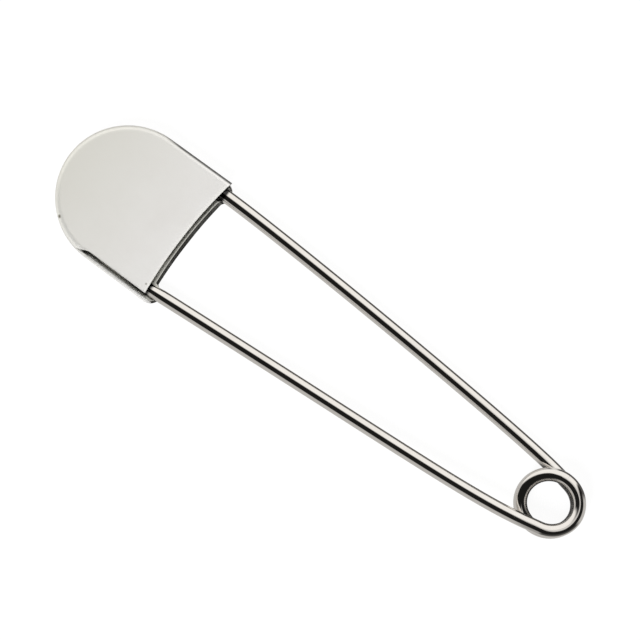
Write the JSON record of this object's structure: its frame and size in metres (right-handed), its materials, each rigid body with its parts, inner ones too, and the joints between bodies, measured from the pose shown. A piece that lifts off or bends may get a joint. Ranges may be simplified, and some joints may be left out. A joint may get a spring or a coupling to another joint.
{
  "type": "safety pin",
  "caption": "Large safety pin: a sprung wire with a round coil at one end and a folded sheet guard that covers the point at the other.",
  "frame": {"origin": "middle of the bounding box's underside: the part lies flat on it", "axes": "+X from the guard to the spring coil, +Y from the pin arm to the fixed leg, +Z out of the guard's front plate"},
  "size_m": [0.127, 0.0297, 0.0061],
  "materials": {
    "plated_sheet": "bright plated sheet steel, faintly mottled",
    "plated_wire": "bright plated spring wire, polished"
  },
  "bodies": {
    "guard_and_leg": {"guard_cap": "plated_sheet", "fixed_leg": "plated_wire"},
    "coil": {"spring_coil": "plated_wire"},
    "arm": {"pin_arm": "plated_wire"}
  },
  "joints": [
    {"name": "arm_press", "type": "hinge", "parent": "guard_and_leg", "child": "coil", "pos_m": [0.0562, -0.00006, 0.0014], "axis": [0, 0, 1], "range_deg": [-7, 0], "stiffness_Nm_per_rad": 4, "deforming": ["spring_coil"]},
    {"name": "arm_open", "type": "hinge", "parent": "coil", "child": "arm", "pos_m": [0.0562, -0.00006, 0.0047], "axis": [0, 0.4067, 0.9135], "range_deg": [0, 30], "deforming": ["spring_coil"]}
  ]
}
